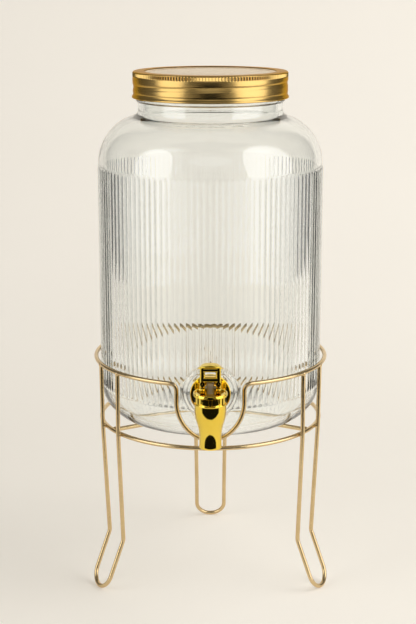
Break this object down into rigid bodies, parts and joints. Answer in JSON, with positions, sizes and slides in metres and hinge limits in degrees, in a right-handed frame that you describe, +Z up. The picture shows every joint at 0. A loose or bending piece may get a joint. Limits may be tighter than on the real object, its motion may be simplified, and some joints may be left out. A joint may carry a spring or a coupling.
{
  "type": "glass drinks dispenser",
  "caption": "Ribbed clear-glass drinks dispenser jar with a two-piece screw lid, a flip-lever tap and a welded wire stand on hairpin legs.",
  "frame": {"origin": "on the jar's axis, at the floor that the three feet stand on", "axes": "+Z up along the jar's axis; the tap faces -Y; +X to the right of someone who faces the tap"},
  "size_m": [0.2238, 0.2709, 0.4834],
  "materials": {
    "stand_wire": "satin champagne gold",
    "jar_glass": "clear",
    "tap_plated": "bright gold metallised",
    "silicone": "translucent white",
    "nut_plastic": "white",
    "stem_plastic": "translucent brown",
    "pin_steel": "satin",
    "lid_metal": "satin gold lacquer"
  },
  "bodies": {
    "stand": {"upper_ring": "stand_wire", "lower_ring": "stand_wire", "leg_left": "stand_wire", "leg_right": "stand_wire", "leg_rear": "stand_wire", "spoke_left": "stand_wire", "spoke_right": "stand_wire", "spoke_rear": "stand_wire"},
    "jar": {"glass_jar": "jar_glass", "tap_body": "tap_plated", "tap_bonnet": "tap_plated", "outer_washer": "silicone", "inner_washer": "silicone", "lock_nut": "nut_plastic"},
    "plunger": {"plunger_stem": "stem_plastic", "seat_cup": "silicone", "lever_pin": "pin_steel"},
    "lever": {"tap_lever": "tap_plated"},
    "lid_insert": {"lid_disc": "lid_metal", "lid_gasket": "silicone"},
    "lid_ring": {"lid_band": "lid_metal"}
  },
  "joints": [
    {"name": "jar_lift", "type": "slide", "parent": "stand", "child": "jar", "axis": [0, 0, 1], "range_m": [0, 0.09]},
    {"name": "plunger_lift", "type": "slide", "parent": "jar", "child": "plunger", "axis": [0, 0, 1], "range_m": [0, 0.003]},
    {"name": "lever_turn", "type": "hinge", "parent": "plunger", "child": "lever", "pos_m": [0, -0.1316, 0.21975], "axis": [1, 0, 0], "range_deg": [0, 80]},
    {"name": "lid_lift", "type": "slide", "parent": "jar", "child": "lid_insert", "axis": [0, 0, 1], "range_m": [0, 0.16]},
    {"name": "lid_turn", "type": "hinge", "parent": "lid_insert", "child": "lid_ring", "pos_m": [0, 0, 0.47], "axis": [0, 0, 1], "range_deg": [0, 360]}
  ],
  "couplings": [
    {"joint": "plunger_lift", "follows": "lever_turn", "m_per_rad": 0.0021485}
  ]
}
